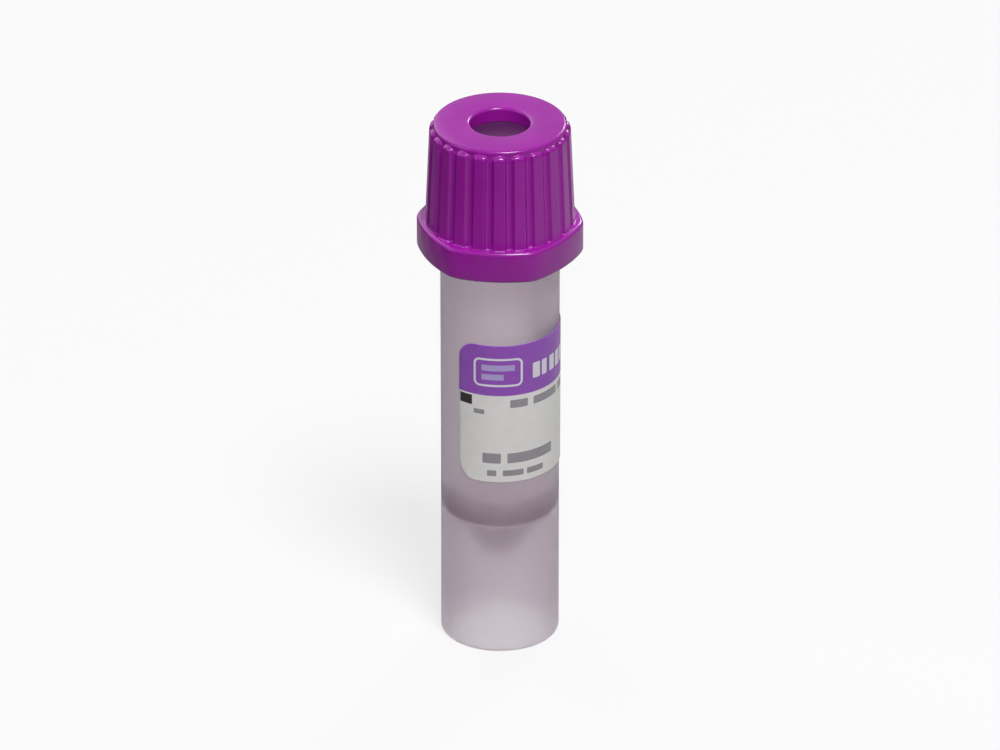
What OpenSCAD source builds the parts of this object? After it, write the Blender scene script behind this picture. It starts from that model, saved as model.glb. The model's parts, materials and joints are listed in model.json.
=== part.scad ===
// Capped micro blood collection tube, standing on its open skirt.
// A translucent tube with a raised conical floor carries a wrap label, and
// a fluted cap with a six-sided flange holds the rubber stopper.
// Origin: centre of the bottom ring. +Z runs up the tube. Millimetres.

/* [Tube] */
// Outer diameter of the straight lower stretch that stands in a rack
tube_d = 12.7; // [11:0.1:14.5]
// Height from the bottom ring to the mouth
tube_h = 57.4; // [52:0.2:75]
// Wall around the blood and under the conical floor
tube_wall = 1.0; // [0.75:0.05:1.3]
// Wall of the open skirt below the floor
skirt_wall = 0.9; // [0.7:0.05:1.4]
// Height of the straight lower stretch
straight_h = 21; // [16:0.5:24]
// How much wider in radius the mouth is than the straight stretch
mouth_draft = 0.06; // [0.03:0.01:0.12]
// Height of the floor's lowest point above the bottom ring
floor_lift = 9; // [6:0.5:16]
// Inner radius of the floor's rounded tip
floor_tip_r = 1.5; // [1:0.1:2.2]
// Angle between the conical floor and the tube's axis
floor_angle = 30; // [24:1:40]
// Chamfer on both ends of the tube
end_chamfer = 0.3; // [0.1:0.05:0.35]

/* [Label] */
// Length of the label around the tube
label_w = 20; // [12:0.5:30]
// Height of the label
label_h = 16.5; // [12:0.5:22]
// Height of the coloured band along the label's top
band_h = 6; // [4:0.2:9]
// Thickness of the label
label_t = 0.1; // [0.08:0.01:0.2]
// Thickness of the adhesive between the label and the tube
glue_t = 0.02; // [0.01:0.01:0.05]
// Radius of the label's corners
label_corner_r = 2; // [1:0.25:4]
// Bare wall between the cap and the label
label_drop = 8.6; // [4:0.1:10]

/* [Stopper] */
// How far the stopper's head stays inside the tube's outer edge
head_inset = 0.4; // [0.3:0.05:0.7]
// Thickness of the head
head_t = 1.95; // [1.5:0.05:3]
// Length of the plug in the tube's mouth
plug_l = 6; // [4.5:0.5:8]
// Gap between the plug and the tube's bore
plug_gap = 0.3; // [0.2:0.05:0.5]
// Gap between the plug's sealing rings and the tube's bore
ring_gap = 0.08; // [0.03:0.01:0.12]
// Section radius of the sealing rings
ring_r = 0.45; // [0.35:0.05:0.6]
// Wall of the plug around the recess under it
plug_wall = 2.3; // [1.6:0.1:2.8]
// Rubber left between the recess and the needle hole
septum_t = 2.6; // [2:0.1:3.5]
// Gap between the mouth of the tube and the stopper's head
mouth_gap = 0.05; // [0.02:0.01:0.1]

/* [Cap] */
// Height of the cap, flange included
cap_h = 15; // [12.5:0.1:18]
// Thickness of the cap's top wall
top_wall = 1.6; // [1.2:0.1:2.2]
// Diameter of the needle hole in the top
needle_d = 6.4; // [5:0.1:7]
// Chamfer around the needle hole
hole_chamfer = 0.3; // [0.2:0.05:0.6]
// Gap between the cap's bore and the tube
bore_gap = 0.12; // [0.08:0.01:0.2]
// How much wider in radius the smooth top is than the bore
top_rim = 0.57; // [0.3:0.01:0.8]
// Radius on the edge of the smooth top
top_edge_r = 0.3; // [0.2:0.05:0.5]
// Gap between the stopper's head and its seat in the cap
head_gap = 0.03; // [0.02:0.01:0.08]
// Gap between the tube's mouth and the ledge of the stopper's seat
ledge_gap = 0.3; // [0.2:0.05:0.5]
// Size of the small edge breaks on the cap
edge_break = 0.25; // [0.15:0.05:0.35]
// Angle by which the cap is turned against the label
cap_turn = -22; // [-30:1:30]

/* [Flutes and flange] */
// Number of flutes
flute_count = 22; // [16:1:26]
// How far the flutes' upper ends stand out from the smooth top
flute_step = 0.45; // [0.4:0.05:0.7]
// Distance of the flutes' upper ends below the top
flute_drop = 0.5; // [0.3:0.05:1]
// How much the flutes widen in radius down to the flange
flute_flare = 0.45; // [0.4:0.05:1.4]
// Radius of the round grooves between the flutes
groove_r = 0.52; // [0.4:0.02:0.6]
// Depth of the grooves
groove_depth = 0.38; // [0.25:0.01:0.39]
// Height of the six-sided flange
flange_h = 3.6; // [2.4:0.1:4.4]
// How far the middle of each side stands out from the flutes
flange_ledge = 0.5; // [0.15:0.05:0.6]
// How far the corners reach beyond the middle of the sides
corner_reach = 0.45; // [0.2:0.05:0.6]
// Radius to which each side of the flange bulges
side_r = 15; // [13:0.5:30]

/* [Hidden] */
$fn = 96;

// Length by which cutting shapes run past the surfaces that they cut.
past = 1;

tube_r = tube_d / 2;
mouth_r = tube_r + mouth_draft;
lumen_r = tube_r - tube_wall;

// The floor's outer skin ends in a flat root of this width at the skirt.
skirt_r = tube_r - skirt_wall;
root_w = 0.6;
tip_z = floor_lift + tube_wall + floor_tip_r;

// The head sits on the mouth, and the cap's top wall sits on the head.
head_r = mouth_r - head_inset;
head_z = tube_h + mouth_gap;
head_top_z = head_z + head_t;
plug_r = lumen_r - plug_gap;
plug_z = head_z - plug_l;
cap_top_z = head_top_z + top_wall;
cap_z = cap_top_z - cap_h;
cap_bore_r = mouth_r + bore_gap;
ledge_z = tube_h + ledge_gap;

top_r = cap_bore_r + top_rim;
flute_tip_r = flute_step;
flute_top_r = top_r + flute_step;
flute_top_z = cap_top_z - flute_drop;
flute_base_r = flute_top_r + flute_flare;
flange_top_z = cap_z + flange_h;
flange_flat_r = flute_base_r + flange_ledge;
flange_corner_r = flange_flat_r + corner_reach;

label_top_z = cap_z - label_drop;
label_z = label_top_z - label_h;
label_r = wall_r(label_z + label_h / 2) + glue_t + label_t;
label_angle = arc_angle(label_w);

// Outer radius of the tube at a height.
function wall_r(z) =
    tube_r + mouth_draft * max(z - straight_h, 0) / (tube_h - straight_h);

// Angle that a length takes up around the label.
function arc_angle(length) = length / label_r * 180 / PI;

// Radius of the floor's cone at the height of its tip's centre.
function cone_r(tip_r) = tip_r / cos(floor_angle);

// ---- tube ----

// Space that holds the blood, or its outer skin when grown by the wall.
module reservoir(grow) {
    tip_r = floor_tip_r + grow;
    join_r = tip_r * cos(floor_angle);
    join_z = tip_z - tip_r * sin(floor_angle);
    cone_h = (lumen_r - join_r) / tan(floor_angle);
    translate([0, 0, tip_z]) sphere(r = tip_r);
    translate([0, 0, join_z]) cylinder(r1 = join_r, r2 = lumen_r, h = cone_h);
    translate([0, 0, join_z + cone_h]) cylinder(r = lumen_r, h = tube_h);
}

// Outside of the tube, straight below and slightly wider towards the mouth.
module tube_outside() {
    rotate_extrude() polygon([
        [0, 0],
        [tube_r - end_chamfer, 0],
        [tube_r, end_chamfer],
        [tube_r, straight_h],
        [mouth_r, tube_h - end_chamfer],
        [mouth_r - end_chamfer, tube_h],
        [0, tube_h],
    ]);
}

// Open space inside the skirt, below and around the conical floor.
module skirt_space() {
    root_z = tip_z + (skirt_r - root_w - cone_r(floor_tip_r + tube_wall)) / tan(floor_angle);
    difference() {
        translate([0, 0, -past]) cylinder(r = skirt_r, h = root_z + past);
        reservoir(tube_wall);
    }
}

module tube() {
    color([0.86, 0.84, 0.87, 0.6]) difference() {
        tube_outside();
        reservoir(0);
        skirt_space();
        translate([0, 0, tube_h - end_chamfer])
            cylinder(r1 = lumen_r, r2 = lumen_r + end_chamfer + past, h = end_chamfer + past);
    }
}

// ---- label ----

// Thin sleeve that follows the tube's draft, with its middle towards -Y.
module label_sleeve() {
    low_r = wall_r(label_z) + glue_t;
    high_r = wall_r(label_top_z) + glue_t;
    rotate([0, 0, -90 - label_angle / 2]) rotate_extrude(angle = label_angle) polygon([
        [low_r, label_z],
        [low_r + label_t, label_z],
        [high_r + label_t, label_top_z],
        [high_r, label_top_z],
    ]);
}

// What is cut off at one corner. side and rise are 1 or -1.
module corner_waste(side, rise) {
    centre_z = rise > 0 ? label_top_z - label_corner_r : label_z + label_corner_r;
    centre_angle = side * (label_angle / 2 - arc_angle(label_corner_r));
    rotate([0, 0, centre_angle]) translate([0, 0, centre_z]) rotate([90, 0, 0])
        linear_extrude(2 * label_r) difference() {
            translate([side, rise] * label_corner_r) square(2 * label_corner_r, center = true);
            circle(r = label_corner_r);
        }
}

module label_shape() {
    difference() {
        label_sleeve();
        for (side = [-1, 1], rise = [-1, 1]) corner_waste(side, rise);
    }
}

// Height range of the printed band.
module band_zone() {
    translate([0, 0, label_top_z - band_h]) cylinder(r = 2 * label_r, h = band_h + past);
}

module label() {
    color("white") difference() {
        label_shape();
        band_zone();
    }
    color([0.49, 0.31, 0.78]) intersection() {
        label_shape();
        band_zone();
    }
}

// ---- stopper ----

module sealing_ring(z) {
    ring_reach_r = lumen_r - ring_gap;
    translate([0, 0, z]) rotate_extrude() translate([ring_reach_r - ring_r, 0]) circle(r = ring_r);
}

// Recess in the plug's lower end, narrowing towards the septum.
module plug_recess() {
    recess_r = plug_r - plug_wall;
    recess_h = head_top_z - septum_t - plug_z;
    taper_h = recess_r / 2;
    translate([0, 0, plug_z - past]) cylinder(r = recess_r, h = recess_h - taper_h + past);
    translate([0, 0, plug_z + recess_h - taper_h])
        cylinder(r1 = recess_r, r2 = recess_r / 2, h = taper_h);
}

module stopper() {
    color([0.45, 0.13, 0.46]) difference() {
        union() {
            translate([0, 0, head_z]) cylinder(r = head_r, h = head_t);
            translate([0, 0, plug_z + end_chamfer]) cylinder(r = plug_r, h = plug_l);
            translate([0, 0, plug_z])
                cylinder(r1 = plug_r - end_chamfer, r2 = plug_r, h = end_chamfer);
            for (share = [0.35, 0.7]) sealing_ring(head_z - share * plug_l);
        }
        plug_recess();
    }
}

// ---- cap ----

// Half section of the round body, with a softened top edge.
module body_profile() {
    soft_z = cap_top_z - top_edge_r;
    square_z = flange_top_z;
    translate([0, square_z]) square([top_r, soft_z - square_z]);
    translate([0, square_z]) square([top_r - top_edge_r, cap_top_z - square_z]);
    translate([top_r - top_edge_r, soft_z]) circle(r = top_edge_r);
}

// Half section through the flutes, rounded at their upper ends.
module flute_profile() {
    round_z = flute_top_z - flute_tip_r;
    polygon([
        [0, cap_z + edge_break],
        [flute_base_r, cap_z + edge_break],
        [flute_base_r, flange_top_z],
        [flute_top_r, round_z],
        [0, round_z],
    ]);
    translate([flute_top_r - flute_tip_r, round_z]) circle(r = flute_tip_r);
}

// Round grooves along the slope, which leave the flutes standing between them.
module grooves() {
    run = flute_top_z - flute_tip_r - flange_top_z;
    lean = atan(flute_flare / run);
    axis_r = flute_top_r + groove_r - groove_depth;
    for (i = [0 : flute_count - 1])
        rotate([0, 0, (i + 0.5) * 360 / flute_count])
            translate([axis_r, 0, flute_top_z - flute_tip_r]) rotate([0, -lean, 0])
                translate([0, 0, -run - past]) cylinder(r = groove_r, h = run + past + 2 * flute_tip_r);
}

// Repeats a shape for each of the flange's six sides, whose bulge is centred on it.
module at_side(i) {
    rotate([0, 0, i * 60]) translate([flange_flat_r - side_r, 0, 0]) children();
}

// Six slightly bulging sides, cut off round at the corners.
module flange_outline() {
    intersection() {
        rotate_extrude() polygon([
            [0, cap_z],
            [flange_corner_r - edge_break, cap_z],
            [flange_corner_r, cap_z + edge_break],
            [flange_corner_r, flange_top_z - edge_break],
            [flange_corner_r - edge_break, flange_top_z],
            [0, flange_top_z],
        ]);
        intersection_for(i = [0 : 5])
            at_side(i) translate([0, 0, cap_z]) cylinder(r = side_r, h = flange_h);
    }
}

// Ring that breaks one edge of a side. rise is 1 at the top and -1 at the bottom.
module side_break(edge_z, rise) {
    rotate_extrude() polygon([
        [side_r - edge_break - past, edge_z + rise * past],
        [side_r + past, edge_z - rise * (edge_break + past)],
        [side_r + past, edge_z + rise * past],
    ]);
}

module flange() {
    difference() {
        flange_outline();
        for (i = [0 : 5]) at_side(i) {
            side_break(flange_top_z, 1);
            side_break(cap_z, -1);
        }
    }
}

// Needle hole, seat for the stopper's head and bore around the tube.
module cap_inside() {
    hole_r = needle_d / 2;
    translate([0, 0, head_top_z - past]) cylinder(r = hole_r, h = top_wall + 2 * past);
    translate([0, 0, cap_top_z - hole_chamfer])
        cylinder(r1 = hole_r, r2 = hole_r + hole_chamfer + past, h = hole_chamfer + past);
    translate([0, 0, ledge_z - past])
        cylinder(r = head_r + head_gap, h = head_top_z - ledge_z + past);
    translate([0, 0, cap_z - past]) cylinder(r = cap_bore_r, h = ledge_z - cap_z + past);
    translate([0, 0, cap_z - past]) cylinder(
        r1 = cap_bore_r + edge_break + past, r2 = cap_bore_r, h = edge_break + past);
}

module cap() {
    color([0.63, 0.12, 0.66]) rotate([0, 0, cap_turn]) difference() {
        union() {
            difference() {
                rotate_extrude() union() {
                    body_profile();
                    flute_profile();
                }
                grooves();
            }
            flange();
        }
        cap_inside();
    }
}

tube();
label();
stopper();
cap();
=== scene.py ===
import json
import math

import bmesh
import bpy
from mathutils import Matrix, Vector


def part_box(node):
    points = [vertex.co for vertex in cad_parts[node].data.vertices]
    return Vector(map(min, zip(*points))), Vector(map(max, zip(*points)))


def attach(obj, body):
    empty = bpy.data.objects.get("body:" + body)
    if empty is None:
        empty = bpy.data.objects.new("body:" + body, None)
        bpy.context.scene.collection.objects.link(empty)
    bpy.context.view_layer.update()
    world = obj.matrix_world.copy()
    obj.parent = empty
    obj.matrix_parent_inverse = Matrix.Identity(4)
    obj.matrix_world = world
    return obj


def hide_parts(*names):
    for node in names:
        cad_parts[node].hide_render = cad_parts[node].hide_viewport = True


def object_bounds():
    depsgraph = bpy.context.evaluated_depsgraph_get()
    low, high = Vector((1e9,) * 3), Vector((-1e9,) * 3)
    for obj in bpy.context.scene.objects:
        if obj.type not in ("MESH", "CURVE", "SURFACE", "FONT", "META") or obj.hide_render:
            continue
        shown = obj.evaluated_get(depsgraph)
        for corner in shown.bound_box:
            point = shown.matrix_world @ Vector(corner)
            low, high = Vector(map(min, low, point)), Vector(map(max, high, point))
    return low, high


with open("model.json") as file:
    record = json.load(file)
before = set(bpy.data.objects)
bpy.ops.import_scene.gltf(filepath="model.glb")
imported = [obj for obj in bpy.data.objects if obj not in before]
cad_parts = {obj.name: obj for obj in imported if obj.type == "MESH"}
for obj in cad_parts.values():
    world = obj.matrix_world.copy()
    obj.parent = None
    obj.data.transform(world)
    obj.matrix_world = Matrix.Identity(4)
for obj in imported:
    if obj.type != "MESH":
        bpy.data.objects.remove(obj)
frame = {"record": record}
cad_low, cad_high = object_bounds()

# A capped micro blood collection tube. Sizes are millimetres, and MM turns them into metres.
# Places of lamps, the camera and the floor are metres.
MM = 0.001
TAU = 2 * math.pi


# ---- Sizes ----

mounts = {mount["name"]: mount for mount in frame["record"]["mounts"]}
tube_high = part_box("tube")[1] / MM
cap_low, cap_high = (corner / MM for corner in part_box("cap"))
label_low, label_high = (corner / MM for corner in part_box("label"))
stopper_low, stopper_high = (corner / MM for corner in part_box("stopper"))

# Tube
TUBE_R = mounts["rack_fit"]["dims"]["r_mm"]
STRAIGHT_H = 21.0
MOUTH_R = TUBE_R + 0.06
MOUTH_Z = tube_high.z
LUMEN_R = TUBE_R - 1.0
SKIRT_R = TUBE_R - 0.9
ROOT_R = SKIRT_R - 0.6
FLOOR_LIFT = 9.0
FLOOR_WALL = 1.0
FLOOR_TIP_R = 1.5
FLOOR_ANGLE = math.radians(30)

# Stopper
HEAD_R = stopper_high.x
HEAD_TOP_Z = stopper_high.z
HEAD_GAP = 0.05
PLUG_R = LUMEN_R - 0.3
PLUG_RING_R = 0.45
PLUG_RING_REACH = LUMEN_R - 0.08
RECESS_R = PLUG_R - 2.3
PIERCED_T = 2.6

# Cap
TOP_Z = cap_high.z
CAP_Z = cap_low.z
FLANGE_TOP_Z = CAP_Z + 3.6
HOLE_R = mounts["needle_port"]["dims"]["r_mm"]
BORE_R = MOUTH_R + 0.12
LEDGE_Z = MOUTH_Z + 0.3
SEAT_R = HEAD_R + 0.03
TOP_R = BORE_R + 0.57
FLUTE_STEP = 0.45
FLUTE_TOP_R = TOP_R + FLUTE_STEP
FLUTE_BASE_R = FLUTE_TOP_R + 0.45
FLUTE_DROP = 0.5
FLUTE_ROOT_R = 0.15
FLUTES = 22
# The flutes' rounded tips: their height, how much lower they end at the sides of a land, and how
# far from a land's middle they go on falling.
TIP_H = 1.3
TIP_FALL = 0.6
TIP_REACH = 0.95
GROOVE_R = 0.52
GROOVE_DEPTH = 0.38
LIP_R = 0.12
FLAT_R = FLUTE_BASE_R + 0.5
CORNER_R = FLAT_R + 0.45
SIDE_R = 15.0
CAP_EDGE_R = 0.4
TOP_EDGE_R = 0.3
HOLE_EDGE_R = 0.3
CAP_TURN = math.radians(-22)
# Extra rings this near to the lower edge of the needle hole keep its wall's shading even.
HOLD = 0.05

# Label
LABEL_W = 20.0
LABEL_H = label_high.z - label_low.z
LABEL_T = 0.1
GLUE_T = 0.02
LABEL_CORNER_R = 2.0
BAND_H = 6.0


def wall_r(z):
    """Outer radius of the tube at a height."""
    share = max(z - STRAIGHT_H, 0) / (MOUTH_Z - STRAIGHT_H)
    return TUBE_R + (MOUTH_R - TUBE_R) * share


# ---- Meshes ----

def make_piece(name, rings, body, node, closed=False, end_strips=False):
    """A smooth mesh through rings of points, which stands for a CAD node.

    A ring of one point is a pole. closed joins the last ring to the first. end_strips fills the
    first and last ring, where a ring runs out along one face of a sheet and back along the other.
    """
    verts, starts = [], []
    for ring in rings:
        starts.append(len(verts))
        verts.extend(ring)
    pairs = list(zip(range(len(rings) - 1), range(1, len(rings))))
    if closed:
        pairs.append((len(rings) - 1, 0))
    faces = []
    for a, b in pairs:
        size = max(len(rings[a]), len(rings[b]))
        for i in range(size):
            j = (i + 1) % size
            corners = []
            for start, ring, k in (
                (starts[a], rings[a], i),
                (starts[a], rings[a], j),
                (starts[b], rings[b], j),
                (starts[b], rings[b], i),
            ):
                corner = start + (k if len(ring) > 1 else 0)
                if corner not in corners:
                    corners.append(corner)
            faces.append(corners)
    if end_strips:
        for start, ring in ((starts[0], rings[0]), (starts[-1], rings[-1])):
            last = start + len(ring) - 1
            for k in range(len(ring) // 2 - 1):
                faces.append([start + k, start + k + 1, last - k - 1, last - k])
    mesh = bpy.data.meshes.new(name)
    mesh.from_pydata([[c * MM for c in point] for point in verts], [], faces)
    mesh.shade_smooth()
    work = bmesh.new()
    work.from_mesh(mesh)
    bmesh.ops.recalc_face_normals(work, faces=work.faces)
    work.to_mesh(mesh)
    work.free()
    piece = bpy.data.objects.new(name, mesh)
    bpy.context.scene.collection.objects.link(piece)
    weigh = piece.modifiers.new("weigh normals", "WEIGHTED_NORMAL")
    weigh.weight = 100
    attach(piece, body)
    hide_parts(node)
    return piece


def circle(r, z, segments=160):
    """A ring of points round the axis, or a pole where the radius is 0."""
    if r < 1e-6:
        return [(0, 0, z)]
    turns = [TAU * i / segments for i in range(segments)]
    return [(r * math.cos(t), r * math.sin(t), z) for t in turns]


def rounded(corners, steps=5):
    """Turns (r, z, radius) corners of a section into points, with arcs at the corners."""
    points = []
    for i, (r, z, radius) in enumerate(corners):
        here = Vector((r, z))
        if radius <= 0:
            points.append(here)
            continue
        back = (Vector(corners[i - 1][:2]) - here).normalized()
        ahead = (Vector(corners[i + 1][:2]) - here).normalized()
        half = back.angle(ahead) / 2
        start = here + back * (radius / math.tan(half))
        centre = here + (back + ahead).normalized() * (radius / math.sin(half))
        spoke = start - centre
        sweep = math.pi - 2 * half
        if back.x * ahead.y - back.y * ahead.x > 0:
            sweep = -sweep
        for k in range(steps + 1):
            turn = sweep * k / steps
            points.append(centre + Vector((
                spoke.x * math.cos(turn) - spoke.y * math.sin(turn),
                spoke.x * math.sin(turn) + spoke.y * math.cos(turn),
            )))
    return points


def arc(centre_z, radius, start, stop, steps=12):
    """Points (r, z) on a circle centred on the axis. Angles are from straight down."""
    angles = [start + (stop - start) * k / steps for k in range(steps + 1)]
    return [Vector((radius * math.sin(a), centre_z - radius * math.cos(a))) for a in angles]


def make_tube():
    """The tube: its inside with the conical floor, the wall, and the skirt below the floor."""
    tip_z = FLOOR_LIFT + FLOOR_WALL + FLOOR_TIP_R
    lean = math.pi / 2 - FLOOR_ANGLE
    outer_tip_r = FLOOR_TIP_R + FLOOR_WALL
    slope = 1 / math.tan(FLOOR_ANGLE)
    cone_top_z = tip_z + (LUMEN_R - FLOOR_TIP_R / math.cos(FLOOR_ANGLE)) * slope
    root_z = tip_z + (ROOT_R - outer_tip_r / math.cos(FLOOR_ANGLE)) * slope
    floor_edge_r = 1.2
    outer_edge_r = 0.3
    foot_edge_r = 0.2
    root_edge_r = 0.25
    inside = arc(tip_z, FLOOR_TIP_R, 0, lean)
    wall = rounded([
        (inside[-1].x, inside[-1].y, 0),
        (LUMEN_R, cone_top_z, floor_edge_r),
        (LUMEN_R, MOUTH_Z, outer_edge_r),
        (MOUTH_R, MOUTH_Z, outer_edge_r),
        (TUBE_R, STRAIGHT_H, 0),
        (TUBE_R, 0, outer_edge_r),
        (SKIRT_R, 0, foot_edge_r),
        (SKIRT_R, root_z, root_edge_r),
        (ROOT_R, root_z, root_edge_r),
        (outer_tip_r * math.sin(lean), tip_z - outer_tip_r * math.cos(lean), 0),
    ])
    below = arc(tip_z, outer_tip_r, lean, 0)
    section = inside + wall[1:-1] + below
    rings = [circle(point.x, point.y) for point in section]
    return make_piece("tube_body_clear", rings, "tube_body", "tube")


def make_label():
    """A thin sheet bent round the tube, with rounded corners."""
    across, flat_rows, corner_rows = 64, 12, 9
    heights = []
    for k in range(corner_rows + 1):
        heights.append(LABEL_CORNER_R * (1 - math.cos(math.pi / 2 * k / corner_rows)))
    straight = LABEL_H - 2 * LABEL_CORNER_R
    for k in range(1, flat_rows):
        heights.append(LABEL_CORNER_R + straight * k / flat_rows)
    heights += [LABEL_H - h for h in reversed(heights[:corner_rows + 1])]

    def row(height, raised):
        z = label_low.z + height
        r = wall_r(z) + GLUE_T + raised
        into = max(LABEL_CORNER_R - min(height, LABEL_H - height), 0)
        trim = LABEL_CORNER_R - math.sqrt(max(LABEL_CORNER_R ** 2 - into ** 2, 0))
        reach = LABEL_W / 2 - trim
        points = []
        for k in range(across + 1):
            angle = reach * (2 * k / across - 1) / (r - raised + LABEL_T)
            points.append((r * math.sin(angle), -r * math.cos(angle), z))
        return points

    rings = []
    for height in heights:
        rings.append(row(height, LABEL_T) + row(height, 0)[::-1])
    return make_piece("label_sheet", rings, "tube_body", "label", end_strips=True)


def make_stopper():
    """The rubber stopper: its head, the plug with two sealing rings, and the recess below."""
    head_z = MOUTH_Z + HEAD_GAP
    head_edge_r = 0.15
    plug_z = stopper_low.z
    plug_edge_r = 0.3
    recess_z = HEAD_TOP_Z - PIERCED_T
    recess_rim_r = 0.2
    recess_edge_r = 0.3
    ring_centre_r = PLUG_RING_REACH - PLUG_RING_R
    ring_start = math.acos((PLUG_R - ring_centre_r) / PLUG_RING_R)
    side = [
        (HEAD_R, HEAD_TOP_Z, head_edge_r),
        (HEAD_R, head_z, head_edge_r),
        (PLUG_R, head_z, head_edge_r),
    ]
    # The sealing rings stand at two shares of the plug's length.
    for share in (0.35, 0.7):
        z = head_z - share * (head_z - plug_z)
        for k in range(9):
            turn = ring_start * (1 - k / 4)
            r = ring_centre_r + PLUG_RING_R * math.cos(turn)
            side.append((r, z + PLUG_RING_R * math.sin(turn), 0))
    section = rounded([
        (0, HEAD_TOP_Z, 0),
        (HOLE_R * 0.55, HEAD_TOP_Z, 0),
        *side,
        (PLUG_R, plug_z, plug_edge_r),
        (RECESS_R, plug_z, recess_rim_r),
        (RECESS_R, recess_z - RECESS_R / 2, recess_edge_r),
        (RECESS_R / 2, recess_z, recess_edge_r),
        (0, recess_z, 0),
    ])
    rings = [circle(point.x, point.y) for point in section]
    return make_piece("stopper_rubber_body", rings, "cap_body", "stopper")


# ---- Cap ----

def turned(r, angle, z):
    """A point of the cap, which is turned a little against the label."""
    return (r * math.cos(angle + CAP_TURN), r * math.sin(angle + CAP_TURN), z)


def groove_section(groove_steps=5, lip_steps=4):
    """Half of a groove as (distance from its middle, depth) points, with a rounded lip."""
    above = GROOVE_R - GROOVE_DEPTH
    lip_x = math.sqrt((GROOVE_R + LIP_R) ** 2 - (above + LIP_R) ** 2)
    meet = math.asin(lip_x / (GROOVE_R + LIP_R))
    points = []
    for k in range(groove_steps + 1):
        turn = meet * k / groove_steps
        points.append((GROOVE_R * math.sin(turn), GROOVE_R * math.cos(turn) - above))
    for k in range(1, lip_steps + 1):
        turn = meet * (1 - k / lip_steps)
        points.append((lip_x - LIP_R * math.sin(turn), LIP_R - LIP_R * math.cos(turn)))
    return points


def flute_columns(r):
    """(angle, depth, distance to the next land's middle) round the cap at a radius."""
    pitch = TAU / FLUTES
    half = groove_section()
    lip_x = half[-1][0]
    land = pitch * r / 2 - lip_x
    side = half + [(lip_x + land * share, 0) for share in (0.3, 0.65, 1.0)]
    columns = []
    for i in range(FLUTES):
        middle = (i + 0.5) * pitch
        for x, depth in side[:-1]:
            columns.append((middle + x / r, depth, pitch * r / 2 - x))
        for x, depth in side[:0:-1]:
            columns.append((middle + pitch - x / r, depth, pitch * r / 2 - x))
    return columns


def flute_surface_r(z):
    """Radius over the flutes, which widen evenly down to the flange."""
    top = TOP_Z - FLUTE_DROP - FLUTE_STEP
    share = min(max((top - z) / (top - FLANGE_TOP_Z), 0), 1)
    return FLUTE_TOP_R + (FLUTE_BASE_R - FLUTE_TOP_R) * share


def flute_ring(z, root=0.0):
    """One ring of the fluted skirt. root moves it out where it runs into the flange."""
    outer = flute_surface_r(z)
    columns = flute_columns(outer)
    land_half = max(from_land for _, depth, from_land in columns if depth == 0) / outer
    below_tip = TOP_Z - FLUTE_DROP - z
    ring = []
    for angle, depth, from_land in columns:
        # Each land is flat across, and the grooves are cut down from its sides.
        flute_r = outer - depth
        if depth == 0:
            flute_r *= math.cos(land_half) / math.cos(from_land / outer)
        # The tips end lower towards the sides of each land, along a circle of 1 mm.
        fall = TIP_FALL * (1 - math.sqrt(1 - min(from_land, TIP_REACH) ** 2))
        into = min(max((below_tip - fall) / FLUTE_STEP, 0), 1)
        rise = math.sqrt(1 - (1 - into) ** 2)
        r = TOP_R + (flute_r - TOP_R) * rise + root
        ring.append(turned(r, angle, z))
    return ring


def flange_r(angle, sharp=150):
    """Radius of the flange: six sides that bulge a little. The higher sharp, the finer its corners."""
    shift = SIDE_R - FLAT_R
    sides = [CORNER_R]
    for i in range(6):
        turn = angle - i * TAU / 6
        if math.cos(turn) > 0:
            reach = math.sqrt(SIDE_R ** 2 - (shift * math.sin(turn)) ** 2)
            sides.append(reach - shift * math.cos(turn))
    return sum(side ** -sharp for side in sides) ** (-1 / sharp)


def flute_rings(tip_steps=16, straight_steps=8, root_steps=3):
    """The fluted skirt from its tips, where the rings are close, down to the flange."""
    tips_z = TOP_Z - FLUTE_DROP
    straight_z = tips_z - TIP_H
    root_z = FLANGE_TOP_Z + FLUTE_ROOT_R
    rings = []
    for k in range(tip_steps + 1):
        rings.append(flute_ring(tips_z - TIP_H * (k / tip_steps) ** 1.5))
    for k in range(1, straight_steps + 1):
        rings.append(flute_ring(straight_z + (root_z - straight_z) * k / straight_steps))
    for k in range(1, root_steps + 1):
        turn = math.pi / 2 * k / root_steps
        z = root_z - FLUTE_ROOT_R * math.sin(turn)
        rings.append(flute_ring(z, FLUTE_ROOT_R * (1 - math.cos(turn))))
    return rings


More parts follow.
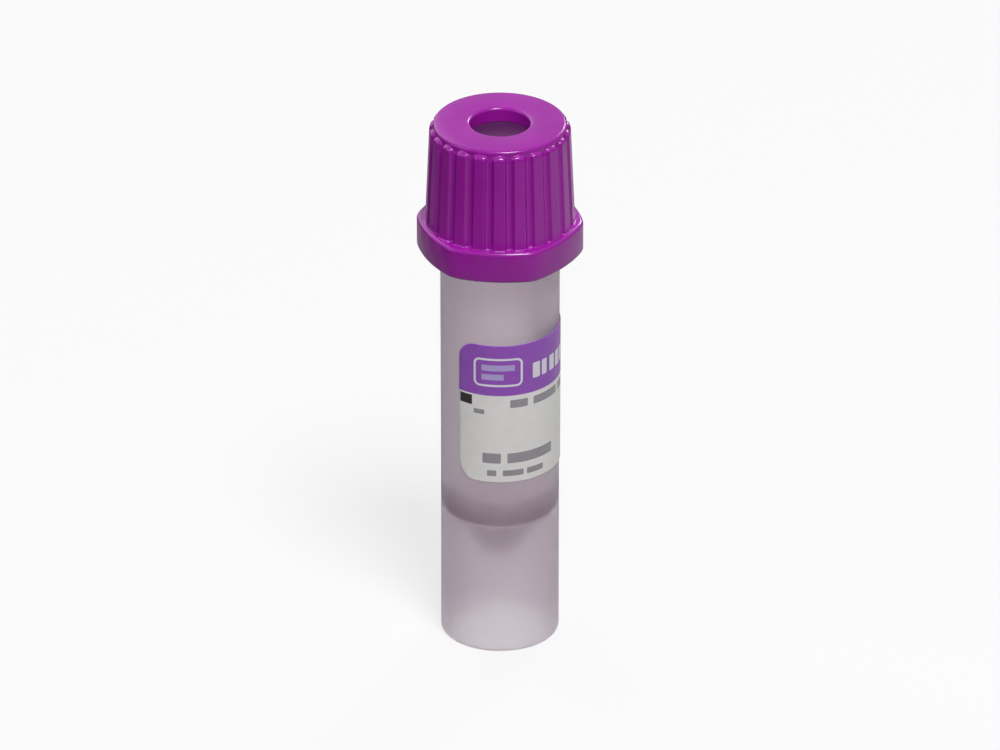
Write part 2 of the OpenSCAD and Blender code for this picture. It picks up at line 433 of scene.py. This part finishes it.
def make_cap():
    """The cap, in rings from the needle hole over the top, down the outside and up the bore."""
    angles = [angle for angle, _, _ in flute_columns(FLUTE_BASE_R)]

    def ring(z, radius):
        """A ring at one radius, or at the radius that a function gives for each angle."""
        points = []
        for angle in angles:
            r = radius(angle) if callable(radius) else radius
            points.append(turned(r, angle, z))
        return points

    top = rounded([
        (HOLE_R, HEAD_TOP_Z, 0),
        (HOLE_R, HEAD_TOP_Z + HOLD, 0),
        (HOLE_R, TOP_Z, HOLE_EDGE_R),
        (TOP_R, TOP_Z, TOP_EDGE_R),
        (TOP_R, TOP_Z - FLUTE_DROP, 0),
    ])
    # The flange's edge, as offsets (inwards, z) from its outline.
    edge = rounded([
        (1, FLANGE_TOP_Z, 0),
        (0, FLANGE_TOP_Z, CAP_EDGE_R),
        (0, CAP_Z, CAP_EDGE_R),
        (1, CAP_Z, 0),
    ])
    mouth_edge_r = 0.25
    inner_edge_r = 0.1
    inside = rounded([
        (FLAT_R, CAP_Z, 0),
        (BORE_R, CAP_Z, mouth_edge_r),
        (BORE_R, LEDGE_Z, inner_edge_r),
        (SEAT_R, LEDGE_Z, inner_edge_r),
        (SEAT_R, HEAD_TOP_Z, inner_edge_r),
        (HOLE_R + HOLD, HEAD_TOP_Z, 0),
        (HOLE_R, HEAD_TOP_Z, 0),
    ])
    rings = [ring(point.y, point.x) for point in top[:-1]]
    rings += flute_rings()
    for point in edge[1:-1]:
        rings.append(ring(point.y, lambda angle: flange_r(angle) - point.x))
    rings += [ring(point.y, point.x) for point in inside[1:-1]]
    return make_piece("cap_fluted", rings, "cap_body", "cap", closed=True)


# ---- Nodes ----

class Nodes:
    """The nodes of a material or a world, with short calls for the kinds used here."""

    def __init__(self, owner):
        owner.use_nodes = True
        self.owner = owner
        self.tree = owner.node_tree

    def add(self, kind, **settings):
        node = self.tree.nodes.new(kind)
        for key, value in settings.items():
            setattr(node, key, value)
        return node

    def put(self, value, socket):
        """Links another node's output to a socket, or sets the socket to a plain value."""
        if isinstance(value, bpy.types.NodeSocket):
            self.tree.links.new(value, socket)
        else:
            socket.default_value = value

    def set(self, **values):
        """Sets inputs of the Principled shader, with _ for each space in their names."""
        shader = self.tree.nodes["Principled BSDF"]
        for key, value in values.items():
            self.put(value, shader.inputs[key.replace("_", " ")])

    def math(self, operation, *values):
        node = self.add("ShaderNodeMath", operation=operation)
        for value, socket in zip(values, node.inputs):
            self.put(value, socket)
        return node.outputs[0]

    def place(self):
        return self.add("ShaderNodeTexCoord").outputs["Object"]

    def noise(self, scale, detail=3.0, rough=0.5, stretch=(1, 1, 1)):
        mapping = self.add("ShaderNodeMapping")
        self.put(self.place(), mapping.inputs["Vector"])
        mapping.inputs["Scale"].default_value = stretch
        node = self.add("ShaderNodeTexNoise")
        self.put(mapping.outputs[0], node.inputs["Vector"])
        node.inputs["Scale"].default_value = scale
        node.inputs["Detail"].default_value = detail
        node.inputs["Roughness"].default_value = rough
        return node.outputs[0]

    def remap(self, value, from_min, from_max, to_min, to_max):
        node = self.add("ShaderNodeMapRange")
        self.put(value, node.inputs["Value"])
        node.inputs["From Min"].default_value = from_min
        node.inputs["From Max"].default_value = from_max
        node.inputs["To Min"].default_value = to_min
        node.inputs["To Max"].default_value = to_max
        return node.outputs[0]

    def span(self, noise, low, high):
        """Spreads the middle of a noise, where most of it lies, between two numbers."""
        return self.remap(noise, 0.3, 0.7, low, high)

    def blend(self, share, first, second):
        node = self.add("ShaderNodeMix", data_type="RGBA")
        self.put(share, node.inputs["Factor"])
        self.put(first, node.inputs[6])
        self.put(second, node.inputs[7])
        return node.outputs[2]

    def bump(self, height, distance, strength=1.0, under=None):
        """A bump of a height in millimetres, over another bump where one is given."""
        node = self.add("ShaderNodeBump")
        node.inputs["Strength"].default_value = strength
        node.inputs["Distance"].default_value = distance * MM
        self.put(height, node.inputs["Height"])
        if under:
            self.put(under, node.inputs["Normal"])
        return node.outputs[0]


def rgb(red, green, blue):
    """A colour given as screen values of 0 to 255, made linear."""
    def linear(value):
        share = value / 255
        return share / 12.92 if share <= 0.04045 else ((share + 0.055) / 1.055) ** 2.4
    return (linear(red), linear(green), linear(blue), 1)


# ---- Materials ----

def cap_plastic():
    """Glossy moulded purple plastic, a little translucent."""
    n = Nodes(bpy.data.materials.new("cap_plastic_look"))
    cloud = n.noise(180, detail=2)
    n.set(Base_Color=n.blend(n.span(cloud, 0, 1), rgb(146, 10, 149), rgb(156, 15, 158)))
    n.set(Roughness=n.span(n.noise(900), 0.17, 0.24))
    fine = n.bump(n.noise(2500), distance=0.008, strength=0.15)
    n.set(Normal=n.bump(n.noise(220, detail=2), distance=0.05, strength=0.2, under=fine))
    n.set(Subsurface_Weight=0.1, Subsurface_Radius=(1.0, 0.2, 1.0), Subsurface_Scale=0.4 * MM)
    n.set(IOR=1.5)
    return n.owner


def frosted_plastic():
    """Milky polypropylene that lets blurred shapes through, darker along a long way inside it."""
    n = Nodes(bpy.data.materials.new("frosted_plastic_look"))
    cloud = n.noise(120, rough=0.55, stretch=(1, 1, 0.35))
    n.set(Base_Color=n.blend(n.span(cloud, 0, 1), rgb(238, 233, 237), rgb(242, 238, 241)))
    n.set(Roughness=n.span(n.noise(700, detail=4), 0.36, 0.44))
    fine = n.bump(n.noise(3000), distance=0.008, strength=0.3)
    waves = n.noise(160, detail=2, stretch=(1, 1, 0.25))
    n.set(Normal=n.bump(waves, distance=0.06, strength=0.15, under=fine))
    n.set(Transmission_Weight=0.85, IOR=1.42)
    inside = n.add("ShaderNodeVolumeAbsorption")
    inside.inputs["Color"].default_value = (0.74, 0.62, 0.72, 1)
    inside.inputs["Density"].default_value = 320.0
    n.put(inside.outputs[0], n.tree.nodes["Material Output"].inputs["Volume"])
    return n.owner


def rubber():
    """Dull purple rubber with a fine moulded grain."""
    n = Nodes(bpy.data.materials.new("rubber_look"))
    cloud = n.noise(400, detail=4)
    n.set(Base_Color=n.blend(n.span(cloud, 0, 1), rgb(72, 20, 74), rgb(84, 27, 86)))
    n.set(Roughness=n.span(n.noise(1200, detail=4), 0.5, 0.68))
    grain = n.noise(2200, detail=5, rough=0.6)
    n.set(Normal=n.bump(grain, distance=0.03, strength=0.5), IOR=1.4)
    return n.owner


def label_print():
    """White label film with a coloured band and plain bars in place of print."""
    n = Nodes(bpy.data.materials.new("label_print_look"))
    split = n.add("ShaderNodeSeparateXYZ")
    n.put(n.place(), split.inputs[0])
    x, y, z = split.outputs
    around = n.math("ARCTAN2", x, n.math("MULTIPLY", y, -1.0))
    s = n.math("MULTIPLY", around, wall_r(label_low.z) + GLUE_T + LABEL_T)
    height = n.math("SUBTRACT", n.math("DIVIDE", z, MM), label_low.z)

    def past(value, low, high, round_r):
        """How far a value lies past the ends of a range, less a corner's radius, or 0."""
        off = n.math("ABSOLUTE", n.math("SUBTRACT", value, (low + high) / 2))
        return n.math("MAXIMUM", n.math("SUBTRACT", off, (high - low) / 2 - round_r), 0.0)

    def mark(left, right, top, bottom, round_r=0.0):
        """1 inside a rectangle, measured from the label's left end and down from its top."""
        dx = past(s, left - LABEL_W / 2, right - LABEL_W / 2, round_r)
        dy = past(height, LABEL_H - bottom, LABEL_H - top, round_r)
        far = n.math("SQRT", n.math("ADD", n.math("MULTIPLY", dx, dx), n.math("MULTIPLY", dy, dy)))
        return n.math("LESS_THAN", far, max(round_r, 0.001))

    def outlined(left, right, top, bottom, round_r, line):
        """A rectangle with rounded corners, drawn as a line."""
        outer = mark(left, right, top, bottom, round_r)
        inner = mark(left + line, right - line, top + line, bottom - line, round_r - line)
        return n.math("SUBTRACT", outer, inner)

    def join(masks):
        total = masks[0]
        for mask in masks[1:]:
            total = n.math("MAXIMUM", total, mask)
        return total

    band = n.math("GREATER_THAN", height, LABEL_H - BAND_H)
    white = [outlined(1.9, 7.3, 1.5, 4.9, round_r=0.7, line=0.25)]
    for k, width in enumerate((0.95, 0.75, 0.9, 0.95, 0.8, 0.95)):
        left = 8.5 + 1.22 * k
        white.append(mark(left, left + width, 2.5, 4.35, 0.15))
    pale = [mark(2.8, 6.4, 2.3, 3.0, 0.1), mark(2.8, 5.2, 3.4, 4.1, 0.1)]
    dark = [mark(0.2, 1.7, BAND_H + 0.2, BAND_H + 1.35)]
    grey = [mark(1.9, 3.1, BAND_H + 1.75, BAND_H + 2.3)]
    for words, top, bottom in (
        (((5.9, 7.9), (8.6, 12.3), (12.8, 15.4)), BAND_H + 0.55, BAND_H + 1.5),
        (((2.9, 4.9), (5.6, 11.3)), 13.0, 14.2),
        (((3.4, 4.4), (5.1, 7.4), (7.8, 9.9)), 15.05, 15.75),
    ):
        for left, right in words:
            grey.append(mark(left, right, top, bottom, 0.1))
    for k in range(5):
        grey.append(mark(18.1, 18.7, 8.2 + 1.2 * k, 9.0 + 1.2 * k))
    paper_cloud = n.span(n.noise(600, detail=4), 0, 1)
    paper = n.blend(paper_cloud, rgb(240, 239, 236), rgb(245, 244, 241))
    ink_cloud = n.span(n.noise(900, detail=4), 0, 1)
    purple = n.blend(ink_cloud, rgb(151, 83, 190), rgb(157, 89, 196))
    colour = n.blend(band, paper, purple)
    colour = n.blend(join(white), colour, rgb(236, 234, 242))
    colour = n.blend(join(pale), colour, rgb(186, 170, 222))
    colour = n.blend(join(grey), colour, rgb(158, 155, 161))
    colour = n.blend(join(dark), colour, rgb(40, 36, 44))
    n.set(Base_Color=colour, Roughness=n.span(n.noise(1500), 0.32, 0.45))
    n.set(Normal=n.bump(n.noise(1800, detail=4), distance=0.01, strength=0.3), IOR=1.48)
    n.set(Subsurface_Weight=0.35, Subsurface_Radius=(1.0, 1.0, 1.0), Subsurface_Scale=0.3 * MM)
    return n.owner


def dress(piece, material):
    piece.data.materials.clear()
    piece.data.materials.append(material)


# ---- Stage ----

# Share of the white that glossy surfaces mirror from the room, and the room's light.
ROOM_MIRRORED = 0.4
ROOM_LIGHT = 0.17
# Painted reflection: the stage's mirrored share of glowing white falls with the distance from a bright
# spot beside the object, where no lamp is, and paints a sheen on the cap's glossy sides.
BRIGHT_SPOT = Vector((0.07, -0.07, 0.0))
BRIGHT_REACH = 0.05
DARK_REACH = 0.23
BRIGHT_MIRRORED = 0.6
DARK_MIRRORED = 0.02
# Greys of the stage, as it lights the object and as it is seen, and the white mixed in there.
STAGE_BOUNCE = 0.22
STAGE_SEEN = 0.75
STAGE_WHITE = 0.7
STAGE_REACH = 3.0

# Lamps: place, diameter and power.
LAMPS = {
    "key": ((-0.17, -0.36, 0.78), 0.3, 6.5),
    "side": ((-0.6, 0.35, 0.35), 0.5, 0.7),
    "rim": ((0.6, 0.2, 0.35), 0.25, 1.2),
    "back": ((0.1, 0.65, 0.4), 0.8, 1.6),
}


def seen_share(n, mirrored_share):
    """1 for rays that see a surface straight or through the tube, less for mirrored ones."""
    path = n.add("ShaderNodeLightPath").outputs
    seen = n.math("MAXIMUM", path["Is Camera Ray"], path["Is Transmission Ray"])
    mirrored = n.math("MULTIPLY", path["Is Glossy Ray"], mirrored_share)
    return n.math("MAXIMUM", seen, mirrored)


def painted_sheen_share(n):
    """The share of painted reflection: glowing white that only mirrored rays see, falling over the
    stage with the distance from the bright spot.
    """
    away = n.add("ShaderNodeVectorMath", operation="DISTANCE")
    n.put(n.place(), away.inputs[0])
    n.put(BRIGHT_SPOT, away.inputs[1])
    distance = away.outputs["Value"]
    return n.remap(distance, BRIGHT_REACH, DARK_REACH, BRIGHT_MIRRORED, DARK_MIRRORED)


def mix_white(n, shader, share):
    glow = n.add("ShaderNodeEmission")
    n.put((1, 1, 1, 1), glow.inputs["Color"])
    mix = n.add("ShaderNodeMixShader")
    n.put(share, mix.inputs["Fac"])
    n.put(shader, mix.inputs[1])
    n.put(glow.outputs[0], mix.inputs[2])
    return mix.outputs[0]


def make_floor():
    mesh = bpy.data.meshes.new("floor")
    sides = ((-1, -1), (1, -1), (1, 1), (-1, 1))
    corners = [(STAGE_REACH * x, STAGE_REACH * y, 0) for x, y in sides]
    mesh.from_pydata(corners, [], [(0, 1, 2, 3)])
    floor = bpy.data.objects.new("floor", mesh)
    bpy.context.scene.collection.objects.link(floor)
    n = Nodes(bpy.data.materials.new("floor_white"))
    # Mirrored rays see a painted reflection, a white glow round the bright spot.
    seen = seen_share(n, painted_sheen_share(n))
    path = n.add("ShaderNodeLightPath").outputs
    bounced = n.math("MULTIPLY", path["Is Diffuse Ray"], STAGE_BOUNCE)
    grey = n.math("MULTIPLY", seen, STAGE_SEEN)
    n.set(Roughness=0.9, Base_Color=n.math("ADD", grey, bounced))
    shader = n.tree.nodes["Principled BSDF"].outputs[0]
    mixed = mix_white(n, shader, n.math("MULTIPLY", seen, STAGE_WHITE))
    n.put(mixed, n.tree.nodes["Material Output"].inputs["Surface"])
    mesh.materials.append(n.owner)


def make_world():
    world = bpy.data.worlds.new("soft_room")
    bpy.context.scene.world = world
    n = Nodes(world)
    room = n.tree.nodes["Background"]
    n.put((1, 1, 1, 1), room.inputs["Color"])
    n.put(ROOM_LIGHT, room.inputs["Strength"])
    mixed = mix_white(n, room.outputs[0], seen_share(n, ROOM_MIRRORED))
    n.put(mixed, n.tree.nodes["World Output"].inputs["Surface"])


def make_lamp(name, place, diameter, power, target):
    light = bpy.data.lights.new(name, "AREA")
    light.shape = "DISK"
    light.size = diameter
    light.energy = power
    lamp = bpy.data.objects.new(name, light)
    lamp.location = place
    lamp.rotation_euler = (target - Vector(place)).to_track_quat("-Z", "Y").to_euler()
    bpy.context.scene.collection.objects.link(lamp)


def make_camera(azimuth, elevation, distance, lens, target):
    """A camera that looks at a target. At azimuth 0 it looks along +Y."""
    a, e = math.radians(azimuth), math.radians(elevation)
    back = Vector((math.sin(a) * math.cos(e), -math.cos(a) * math.cos(e), math.sin(e)))
    data = bpy.data.cameras.new("camera")
    data.lens = lens
    data.clip_start = 0.05
    data.clip_end = 20
    camera = bpy.data.objects.new("camera", data)
    camera.location = target + back * distance
    camera.rotation_euler = (-back).to_track_quat("-Z", "Y").to_euler()
    bpy.context.scene.collection.objects.link(camera)
    bpy.context.scene.camera = camera


# ---- Making the scene ----

middle = (cad_low + cad_high) / 2
make_camera(azimuth=-46, elevation=28.2, distance=1.43, lens=480, target=middle)

dress(make_tube(), frosted_plastic())
dress(make_label(), label_print())
dress(make_stopper(), rubber())
dress(make_cap(), cap_plastic())

make_floor()
make_world()
for name, (place, diameter, power) in LAMPS.items():
    make_lamp(name, place, diameter, power, middle)
bpy.context.scene.view_settings.view_transform = "Standard"
